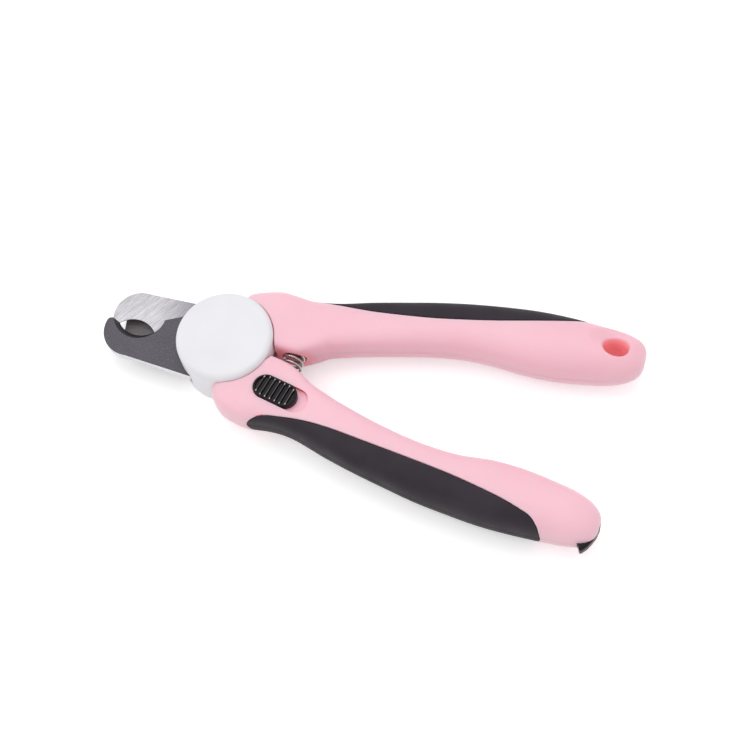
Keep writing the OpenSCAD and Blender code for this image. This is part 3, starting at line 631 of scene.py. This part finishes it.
# Half of a soft grip: its skin with a rounded edge, and the underside in its bed.
def gripHalf(handle, name, up):
    f = handleForm
    x = handleStations(handle)
    x = x[(x > handle["gripEnds"][0]) & (x < handle["gripEnds"][1])][:, None]
    edge, depth, _ = gripEdge(handle, x)
    size = along(f["halfThick"], x)
    edge = edge + f["gripGap"] / size
    edge = np.minimum(edge, np.pi - f["gripSeamAngle"])
    reach = (np.pi - edge) * size  # width of the skin, in mm
    near = np.minimum(1, reach / 2)
    t = np.linspace(0, 1, f["skinColumns"])[None, :]
    d = np.concatenate([np.array(f["lipSteps"]) * near, near + np.clip(reach - 1, 0.001, None) * t], 1)
    d = np.concatenate([d[:, :-1], reach - np.array(f["seamSteps"]) * near], 1)
    d = np.sort(np.clip(d, 0, reach), 1)
    r = np.minimum(f["gripRound"], reach / 2)
    lip = r - np.sqrt(np.clip(r**2 - np.clip(r - d, 0, None) ** 2, 0, None))
    seam = f["gripSeam"] * np.clip(1 - (reach - d) / f["gripSeamWide"], 0, 1) ** 2
    a = edge + d / size
    under = edge + (np.pi - edge) * np.linspace(1, 0, f["underColumns"])[None, :]
    bed = np.maximum(depth - f["bedGap"], f["bedLeast"])
    a = np.concatenate([a, np.pi + 0 * x, under], 1)
    proud = f["gripProud"]
    i = np.concatenate([np.maximum(lip, seam) - proud, 0 * x + f["gripSeam"] - proud,
                        bed + 0 * under], 1)
    p = sectionPoints(handle, x, a, i)
    p[..., 2] = midZ + (1 if up else -1) * p[..., 2]
    return ringSolid(name, p)


drumRim = {"lip": 0.3, "soft": 0.12, "top": 6.6, "past": 9.5}


# Round way for the drum, flared where it leaves the handle so that its rim is soft.
def drumCut(name, centre, radius):
    lip, soft, top, past = drumRim.values()
    h = np.array([-past, -top, -top + soft, -top + lip, top - lip, top - soft, top, past])
    r = radius + np.array([lip, lip, soft, 0, 0, soft, lip, lip])
    return lathe(name, [[0, midZ - past], *np.c_[r, midZ + h], [0, midZ + past]], 180, centre)


# Body round an outline and the same outline moved by shift.
def sweepHull(name, outlines, shift, z0, z1):
    points = []
    for centre, radius in outlines:
        for s in (0, 1):
            for z in (z0, z1):
                points += circle((centre[0] + s * shift[0], centre[1] + s * shift[1]), radius, z).tolist()
    return hullSolid(name, points)


lock = {"travel": 3.1, "turn": math.radians(-12), "pin": (15.096, -9.804), "button": (20.996, -13.304),
        "length": 14.4, "width": 7.6}
lockRoom = {"plate": (2.1, 3.0), "plateZ": (8.4, 11.7), "shaft": 1.8, "shaftZ": (11, 14),
            "button": 4.0, "buttonZ": (13.5, 18), "buttonPast": 1.14}
lockWay = (lock["travel"] * math.cos(lock["turn"]), lock["travel"] * math.sin(lock["turn"]))


def buttonEnds():
    half = (lock["length"] - lock["width"]) / 2
    c, s = math.cos(lock["turn"]), math.sin(lock["turn"])
    x, y = lock["button"]
    return [(x - half * c, y - half * s), (x + half * c, y + half * s)]


# Rooms that the lock's plate, button and shaft slide in, all cut in the upper shell.
def lockWays():
    room = lockRoom
    plate = list(zip((lock["pin"], lock["button"]), room["plate"]))
    past = [v * room["buttonPast"] for v in lockWay]
    return [sweepHull("plateRoom", plate, lockWay, *room["plateZ"]),
            sweepHull("buttonWay", [(c, room["button"]) for c in buttonEnds()], past, *room["buttonZ"]),
            sweepHull("shaftWay", [(lock["button"], room["shaft"])], lockWay, *room["shaftZ"])]


seat = {"x": 21.2, "radius": 3.8, "sides": 64}


# Round pocket for the spring, along Y.
def springSeat(name, y0, y1):
    a, r = roundAngles(seat["sides"]), seat["radius"]
    ring = np.stack([np.stack([seat["x"] + r * np.cos(a), np.full(len(a), y), midZ + r * np.sin(a)], -1)
                     for y in (y0, y1)])
    return ringSolid(name, ring)


screwForm = {
    "way": [[0, -1], [2.45, -1], [2.45, 3.6], [1.3, 3.6], [1.3, 12.8], [0, 12.8]],
    "body": [[0, 2.45], [1.6, 2.45], [2.1, 2.6], [2.3, 2.9], [2.3, 3.6], [1.25, 3.6],
             [1.25, 12.4], [1.0, 12.6], [0, 12.6]],
    "cross": ((1.3, 0.28), (0.28, 1.3)), "crossZ": (1.5, 3.1), "sides": 48,
}


def screwWays(handle):
    return [lathe("way", screwForm["way"], screwForm["sides"], at) for at in handle["screws"]]


# Sector of a flat ring between two angles, from its first radius to its second.
def ringSector(name, angles, radii, heights, steps):
    a = np.radians(np.linspace(*angles, steps))
    first, second = [np.c_[r * np.cos(a), r * np.sin(a)] for r in radii]
    return prism(name, np.concatenate([first, second[::-1]]), *heights)


claw = {"angles": (-57.1, -22.37), "radii": (25.1, 14.7), "heights": (7.05, 9.85), "steps": 30}
fileRoom = {
    "low": (67.8, -31.1, midZ - 0.9), "high": (128, -23.7, midZ + 0.9),
    "tab": [[111.85, -31.95], [118, -33.15], [119.6, -33.95], [140, -33.95], [140, -23.65],
            [111.85, -23.65]],
    "tabHalf": 1.55,
}


# Way of the file's tab, out through the handle's end.
def tabWay(name):
    return prism(name, fileRoom["tab"], midZ - fileRoom["tabHalf"], midZ + fileRoom["tabHalf"])


def box(name, low, high):
    x0, y0, z0 = low
    x1, y1, z1 = high
    return prism(name, [[x0, y0], [x1, y0], [x1, y1], [x0, y1]], z0, z1)


# Each ring of the hole, from its middle to beyond its mouth: width added, share of the slope,
# and depth under the skin.
holeForm = {
    "slope": 0.8, "slopeAt": math.radians(88), "draft": -0.5, "middle": -0.18, "probe": 0.25,
    "sides": 96,
    "rings": [(0, 0, 2.6), (0, 0.25, 1.9), (0, 0.6, 1.1), (0.04, 0.9, 0.5), (0.13, 1, 0.24),
              (0.3, 1, 0.05), (0.5, 1, -0.06), (1.2, 1, -1.5)],
    "reach": 1.015, "slopeReach": 0.27, "slopeFrom": 0.2, "slopeSteep": 0.75,
}
drumWall = {"radius": 15.4, "steep": 0.3}


# Width of the slope on the outer side of the hole's upper mouth: slope times the cosine of the
# angle from its widest place.
def holeSlope(angle):
    return holeForm["slope"] * np.clip(np.cos(angle - holeForm["slopeAt"]), 0, 1)


# Hanging hole with a rounded lip, which follows the height of the shell round the hole. Its lower
# half is slightly narrower.
def holeCut(shell, side):
    (cx, cy), (rx, ry) = hang["hole"], hang["holeHalf"]
    a = roundAngles(holeForm["sides"])
    slope = holeSlope(a) if side > 0 else 0 * a
    draft = 0 if side > 0 else holeForm["draft"]
    skin = []
    for c, s, b in zip(np.cos(a), np.sin(a), slope + draft + holeForm["probe"]):
        start = Vector((cx + (rx + b) * c, cy + (ry + b) * s, midZ + side * 20)) * mm
        skin.append(shell.ray_cast(start, Vector((0, 0, -side)))[1].z / mm)
    skin = np.array(skin)
    rows = [(holeForm["middle"] * draft + 0 * a, np.full(len(a), midZ - side))]
    rows += [(draft + wide + slope * share, skin - side * drop)
             for wide, share, drop in holeForm["rings"]]
    rings = [np.stack([cx + (rx + r) * np.cos(a), cy + (ry + r) * np.sin(a), z], -1) for r, z in rows]
    return ringSolid("hole", np.array(rings))


# Walls of the round way for the drum, which get a deeper pink with painted shade and a faint painted glow.
def gapFaces(centre, normal):
    near = np.linalg.norm(centre[:, :2], axis=1) < drumWall["radius"]
    return near & (np.abs(normal[:, 2]) < drumWall["steep"])


# Wall and slope of the hanging hole, then the walls of the drum's way; both get painted shade and glow.
def hollowFaces(centre, normal):
    f = holeForm
    off = centre[:, :2] - np.array(hang["hole"])
    slope = np.where(centre[:, 2] > midZ, holeSlope(np.arctan2(off[:, 1], off[:, 0])), 0)
    near = np.linalg.norm(off / np.array(hang["holeHalf"]), axis=1) < f["reach"] + slope * f["slopeReach"]
    steep = np.where(slope > f["slopeFrom"], f["slopeSteep"], drumWall["steep"])
    hole = near & (np.abs(normal[:, 2]) < steep)
    return np.where(hole, 1, np.where(gapFaces(centre, normal), 2, 0))


recess = {"reach": 10.5, "drumClear": 15.6, "wallSteep": 0.3, "footFlat": 0.95, "footNear": 0.1}


# Wall and floor of the recess that the lock button slides in. The walls, with those of the drum's way, take
# the deeper pink with painted shade and glow; the floor takes a lighter pink with painted light.
def recessFaces(centre, normal):
    foot = lockRoom["buttonZ"][0]
    middle = np.array(lock["button"]) + 0.5 * np.array(lockWay)
    here = np.linalg.norm(centre[:, :2] - middle, axis=1) < recess["reach"]
    here = here & (np.linalg.norm(centre[:, :2], axis=1) > recess["drumClear"])
    wall = (np.abs(normal[:, 2]) < recess["wallSteep"]) & (centre[:, 2] > foot - recess["footNear"])
    flat = (normal[:, 2] > recess["footFlat"]) & (np.abs(centre[:, 2] - foot) < recess["footNear"])
    return np.where(here & wall | gapFaces(centre, normal), 1, np.where(here & flat, 2, 0))


# Rooms in a shell for the drum and the spring, and for what else the handle holds.
def shellCuts(handle, up):
    drum = [drumCut(name, *way) for name, way in handle["drum"].items()]
    pocket = springSeat("seat", *handle["seat"])
    if handle is hang:
        return [*drum, pocket, *([] if up else screwWays(handle))]
    return [*drum, ringSector("clawRoom", **claw), pocket,
            box("fileWay", fileRoom["low"], fileRoom["high"]), tabWay("tabWay"),
            *(lockWays() if up else screwWays(handle))]


# Both shells of a handle and their soft grips. One handle has the hanging hole, and the way of
# the file's tab leaves the other through its grips.
def makeHandle(handle, name, pick, *looks):
    body = handle["body"]
    for up, part in ((True, "top"), (False, "bottom")):
        shell = shellHalf(handle, f"{name}Handle{part.title()}", up)
        boolean(shell, shellCuts(handle, up))
        grip = gripHalf(handle, f"{name}Grip{part.title()}", up)
        if handle is hang:
            boolean(shell, [holeCut(shell, 1 if up else -1)])
        else:
            boolean(grip, [tabWay("tabWay")])
        dress(shadeSmooth(shell), body, "pinkPlastic", "pink_plastic", f"{body}_{part}_shell")
        paint(shell, pick, *looks)
        dress(shadeSmooth(grip, 50), body, "softGrip", "soft_grip", f"{body}_{part}_grip")


makeHandle(hang, "hang", hollowFaces, "pinkHolePaintedShadeGlow", "pinkGapPaintedShadeGlow")
print("hang handle made")
makeHandle(fileSide, "file", recessFaces, "pinkGapPaintedShadeGlow", "pinkFloorPaintedGlow")
print("file handle made")


cap = {"radius": 15.0, "round": 1.8, "top": 17.0, "bottom": 9.75, "flat": (0, 4, 8, 11.5),
       "footEdge": 0.15, "bore": 8, "boreTop": 15, "sides": 160,
       "skirts": ((-120.5, -60), (98, 118.5)), "skirtIn": 12.75, "skirtLow": 4.55, "skirtTop": 10.75,
       "skirtSteps": 48}


# Disc with one rounded edge, turned about Z, and its two skirts, which reach down between the
# blades.
def makeTopCap():
    r, rd, top, bottom, bore = (cap[key] for key in ("radius", "round", "top", "bottom", "bore"))
    a = np.linspace(np.pi / 2, 0, 15)
    edge = np.c_[r - rd + rd * np.cos(a), top - rd + rd * np.sin(a)]
    flat = [[x, top] for x in cap["flat"]]
    foot = [[r, bottom + cap["footEdge"]], [r - cap["footEdge"], bottom], [bore, bottom],
            [bore, cap["boreTop"]], [0, cap["boreTop"]]]
    obj = lathe("topPivotCap", [*flat, *edge, *foot], cap["sides"])
    skirts = [ringSector("skirt", angles, (r, cap["skirtIn"]), (cap["skirtLow"], cap["skirtTop"]),
                         cap["skirtSteps"]) for angles in cap["skirts"]]
    boolean(obj, skirts, "UNION")
    shadeSmooth(obj, 35)
    return dress(obj, "file_handle", "whitePlastic", "white_plastic", "top_pivot_cap")


makeTopCap()
plainPiece("bottom_pivot_cap", "bottomPivotCap", 0.15, "file_handle", "whitePlastic", "white_plastic")
for node, name, width in (("pivot_bolt", "pivotBolt", 0.25), ("pivot_nut", "pivotNut", 0.2),
                          ("pivot_washer", "pivotWasher", 0.08)):
    plainPiece(node, name, width, "file_handle", "plainSteel", "fastener_steel")
print("drum made")


plainPiece("curved_blade", "curvedBlade", 0.12, "file_handle", "groundBlade", "ground_blade")
hookBlade = plainPiece("hook_blade", "hookBlade", 0.12, "hang_handle", "coatedBlade", "coated_blade")


notch = {"at": (-30.8, 4.3), "wallSteep": 0.4, "slopeSteep": 0.93, "facing": -0.3}


# Outer side walls of the coated blade are left bare; the sloped wall of its notch gets the coat darkened
# with painted shade. A face looks at the notch when its normal points against the way out from the notch's
# middle.
def hookFaces(centre, normal):
    off = centre[:, :2] - np.array(notch["at"])
    outward = (off / np.linalg.norm(off, axis=1)[:, None] * normal[:, :2]).sum(1)
    steep = np.abs(normal[:, 2])
    wall = (steep < notch["wallSteep"]) & (outward > 0)
    slope = (steep < notch["slopeSteep"]) & (outward < notch["facing"])
    return np.where(wall, 1, np.where(slope, 2, 0))


paint(hookBlade, hookFaces, "bareWall", "notchCoatPaintedShade")
plainPiece("guard_plate", "guardPlate", 0.12, "guard", "guardSteel", "guard_steel")
plainPiece("guard_washer", "guardWasher", 0.08, "guard", "plainSteel", "fastener_steel")


button = {"top": 15.8, "low": 13.6, "lip": 0.35, "rim": 0.6, "rimSlope": 0.22, "deep": 0.6,
          "ribs": 7, "pitch": 1.7, "ribHalf": 0.3, "ribRise": 1.12, "ribMost": 1.05, "step": 0.045,
          "stem": 1.6, "stemLow": 11.7, "overlap": 0.3, "bore": 0.8, "boreZ": (10, 14)}
# Sizes of the painted highlights on the ribs and of the painted glints at the rim, in mm.
crest = {"rimIn": 0.1, "rimOut": 0.4, "shift": 0.04, "wide": 0.17, "thin": 0.05, "flat": 0.3,
         "below": 0.3}


# Upright rod at the middle of the button.
def rod(name, radius, z0, z1, sides):
    return lathe(name, [[0, z0], [radius, z0], [radius, z1], [0, z1]], sides, lock["button"])


# Lock button: a bar with round ends and a sunk tray crossed by round-topped ribs. Height at a
# point is the top less a rounded lip at the outline, less the tray's depth past the rim, plus
# each rib's arch.
def makeButton():
    b, half, wide = button, lock["length"] / 2, lock["width"] / 2
    ends = half - wide + wide * np.sin(np.linspace(0, np.pi / 2, 30))
    even = np.arange(-half + 0.4, half - 0.4, b["step"])
    u = np.unique(np.round(np.concatenate([-ends, ends, even]), 4))
    u = u[np.abs(u) < half - 0.001][:, None]
    over = np.clip(np.abs(u) - (half - wide), 0, None)
    reach = np.sqrt(wide**2 - over**2)
    v = reach * np.sin(np.linspace(-np.pi / 2, np.pi / 2, 81))[None, :]
    d = wide - np.hypot(over + 0 * v, v)
    lip = b["lip"] - np.sqrt(np.clip(b["lip"] ** 2 - np.clip(b["lip"] - d, 0, None) ** 2, 0, None))
    tray = b["deep"] * np.clip((d - b["rim"]) / b["rimSlope"], 0, 1) ** 1.5
    rib = np.zeros_like(v)
    for k in range(b["ribs"]):
        off = np.abs(u - (k - (b["ribs"] - 1) / 2) * b["pitch"]) / b["ribHalf"]
        rib = np.maximum(rib, np.sqrt(np.clip(1 - off**2, 0, 1)) + 0 * v)
    z = b["top"] - lip - tray * (1 - np.clip(b["ribRise"] * rib, 0, b["ribMost"]))
    flat = np.full_like(v, b["low"])
    x = np.concatenate([u + 0 * v, u + 0 * v], 1)
    y, z = np.concatenate([v, v[:, ::-1]], 1), np.concatenate([z, flat], 1)
    c, s, (cx, cy) = math.cos(lock["turn"]), math.sin(lock["turn"]), lock["button"]
    obj = ringSolid("lockButton", np.stack([cx + x * c - y * s, cy + x * s + y * c, z], -1))
    boolean(obj, [rod("stem", b["stem"], b["stemLow"], b["low"] + b["overlap"], 48)], "UNION")
    boolean(obj, [rod("screw", b["bore"], *b["boreZ"], 32)])
    shadeSmooth(obj, 40)
    dress(obj, "lock", "blackPlastic", "black_plastic", "lock_button")
    paint(obj, paintedGlintFaces, "blackCrestPaintedHighlight", "blackRimPaintedGlint")


# Painted highlights along the ribs' crests, and a brighter painted glint where each meets the rim.
def paintedGlintFaces(centre, normal):
    c, s = math.cos(lock["turn"]), math.sin(lock["turn"])
    dx, dy = centre[:, 0] - lock["button"][0], centre[:, 1] - lock["button"][1]
    u, v = dx * c + dy * s, dy * c - dx * s
    half, wide = lock["length"] / 2, lock["width"] / 2
    d = wide - np.hypot(np.clip(np.abs(u) - (half - wide), 0, None), v)
    last = (button["ribs"] - 1) // 2
    off = u - np.clip(np.round(u / button["pitch"]), -last, last) * button["pitch"]
    inside = d > button["rim"] - crest["rimIn"]
    end = inside & (d < button["rim"] + crest["rimOut"])
    thin = inside & (np.abs(off + crest["shift"]) < np.where(end, crest["wide"], crest["thin"]))
    thin = thin & (normal[:, 2] > crest["flat"]) & (centre[:, 2] > button["top"] - crest["below"])
    return np.where(thin, np.where(end, 2, 1), 0)


makeButton()
for node, name in (("lock_plate", "lockPlate"), ("lock_pin", "lockPin"), ("lock_screw", "lockScrew")):
    plainPiece(node, name, 0.08, "lock", "plainSteel", "fastener_steel")
plainPiece("file_blade", "fileBlade", 0.1, "file", "fileSteel", "file_steel")
plainPiece("file_tab", "fileTab", 0.2, "file", "blackPlastic", "black_plastic")


# Pan heads with a cross recess, on plain shanks.
def makeScrews(node, name, handle):
    heads, (low, high) = [], screwForm["crossZ"]
    for x, y in handle["screws"]:
        head = lathe(name, screwForm["body"], screwForm["sides"], (x, y))
        cross = [box("slot", (x - a, y - b, low), (x + a, y + b, high)) for a, b in screwForm["cross"]]
        heads.append(boolean(head, cross))
    first = heads[0]
    bpy.context.view_layer.update()
    with bpy.context.temp_override(active_object=first, selected_editable_objects=heads,
                                   selected_objects=heads, object=first):
        bpy.ops.object.join()
    first.name = name
    dress(shadeSmooth(first), handle["body"], "plainSteel", "fastener_steel", node)


makeScrews("hang_handle_screws", "hangHandleScrews", hang)
makeScrews("file_handle_screws", "fileHandleScrews", fileSide)
print("blades, guard, lock, file and screws made")


spring = {"x": seat["x"], "radius": 3.05, "wire": 0.45, "turns": 8, "low": -6.05, "high": 7.45,
          "lead": 1.4, "tail": 0.9, "perTurn": 32, "sides": 12}


# Wire carried along a coil about Y. The coil rises by its lead over the first and the last turn
# and evenly between them; its ends run straight on by its tail.
def makeSpring():
    s = spring
    n = s["turns"]
    u = np.linspace(0, n, n * s["perTurn"] + 1)
    length = s["high"] - s["low"]
    middle = (length - 2 * s["lead"]) / (n - 2)
    rise = np.where(u < 1, u * s["lead"], np.where(u > n - 1, length - (n - u) * s["lead"],
                                                   s["lead"] + (u - 1) * middle))
    a = np.pi / 2 + 2 * np.pi * u
    r = s["radius"]
    path = np.stack([s["x"] + r * np.cos(a), s["low"] + rise, midZ + r * np.sin(a)], -1)
    first, last = path[0] - path[1], path[-1] - path[-2]
    path = np.concatenate([[path[0] + first / np.linalg.norm(first) * s["tail"]], path,
                           [path[-1] + last / np.linalg.norm(last) * s["tail"]]])
    t = np.gradient(path, axis=0)
    t /= np.linalg.norm(t, axis=1, keepdims=True)
    side = np.cross([0, 1, 0], t)
    side /= np.linalg.norm(side, axis=1, keepdims=True)
    up = np.cross(t, side)
    k = roundAngles(s["sides"])
    ring = (path[:, None] + s["wire"] * (np.cos(k)[None, :, None] * side[:, None]
                                         + np.sin(k)[None, :, None] * up[:, None]))
    obj = shadeSmooth(ringSolid("returnSpring", ring), 60)
    obj.data.materials.append(materials["springWire"])
    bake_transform(obj)
    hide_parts("return_spring")


makeSpring()
print("spring made")


# Lamps stand on the viewer's axes, in m: across to the right, away from the viewer, and z up.
studio = {"world": 0.78, "floor": 0.9, "floorSeen": 0.86, "floorGlow": 0.4, "floorHalf": 900,
          "floorDrop": 0.0001, "aim": (0.05, 0, 0),
          "shader": {"Roughness": 0.9, "Specular IOR Level": 0.1, "Emission Color": (1, 1, 1, 1)}}
lamps = {"keyLamp": {"across": 0.3, "away": 1.0, "z": 2.8, "size": (2.4, 1.8), "power": 18},
         "glintLamp": {"across": -1.5, "away": 0.5, "z": 2.0, "size": (0.5, 0.5), "power": 6}}


# White floor; its tone for the viewer and the light that it throws back are set apart.
def makeFloor():
    h = studio["floorHalf"]
    floor = makeObject("floor", [[-h, -h, 0], [h, -h, 0], [h, h, 0], [-h, h, 0]], [[0, 1, 2, 3]])
    floor.location.z = -studio["floorDrop"]
    mat, tree, bsdf, _ = newMaterial("floorWhite", studio["shader"])
    path = tree.nodes.new("ShaderNodeLightPath")
    seen = maths(tree, "ShaderNodeMath", "MAXIMUM", path.outputs["Is Camera Ray"],
                 path.outputs["Is Glossy Ray"]).outputs[0]
    grey = span(tree, seen, studio["floor"], studio["floorSeen"], 0, 1)
    tree.links.new(grey, bsdf.inputs["Base Color"])
    glow = span(tree, seen, 0, studio["floorGlow"], 0, 1)
    tree.links.new(glow, bsdf.inputs["Emission Strength"])
    floor.data.materials.append(mat)


def makeWorld():
    world = bpy.data.worlds.new("studio")
    bpy.context.scene.world = world
    world.use_nodes = True
    tree = world.node_tree
    back = tree.nodes["Background"]
    back.inputs["Color"].default_value = (1, 1, 1, 1)
    path = tree.nodes.new("ShaderNodeLightPath")
    strength = span(tree, path.outputs["Is Camera Ray"], studio["world"], 1, 0, 1)
    tree.links.new(strength, back.inputs["Strength"])


view = {"azimuth": 28, "elevation": 62.957, "roll": -11.946, "distance": 534.66,
        "target": (42.627, -20.511, 9.6), "lens": 84.67, "sensor": 36, "clip": (0.01, 20)}


# Point of the viewer's own axes, as part x and y.
def turned(x, y):
    a = math.radians(view["azimuth"])
    return x * math.cos(a) - y * math.sin(a), x * math.sin(a) + y * math.cos(a)


def makeLamp(name, lamp):
    light = bpy.data.lights.new(name, "AREA")
    light.shape = "RECTANGLE"
    light.size, light.size_y = lamp["size"]
    light.energy = lamp["power"]
    obj = addObject(name, light)
    obj.location = (*turned(lamp["across"], lamp["away"]), lamp["z"])
    obj.rotation_euler = (Vector(studio["aim"]) - obj.location).to_track_quat("-Z", "Y").to_euler()


# The camera looks down from the near side, rolled a little.
def makeCamera():
    e, roll, d = math.radians(view["elevation"]), math.radians(view["roll"]), view["distance"]
    tx, ty, tz = view["target"]
    back = Vector((*turned(0, -math.cos(e)), math.sin(e)))
    right = Vector((*turned(1, 0), 0))
    up = back.cross(right)
    x = right * math.cos(roll) + up * math.sin(roll)
    y = -right * math.sin(roll) + up * math.cos(roll)
    px, py = turned(tx, ty - d * math.cos(e))
    camera = bpy.data.cameras.new("camera")
    camera.lens, camera.sensor_width = view["lens"], view["sensor"]
    camera.clip_start, camera.clip_end = view["clip"]
    obj = addObject("camera", camera)
    m = Matrix((x, y, back)).transposed().to_4x4()
    m.translation = Vector((px, py, tz + d * math.sin(e))) * mm
    obj.matrix_world = m
    bpy.context.scene.camera = obj


makeFloor()
makeWorld()
for name, lamp in lamps.items():
    makeLamp(name, lamp)
makeCamera()
bpy.context.scene.view_settings.view_transform = "Standard"
print("stage made")
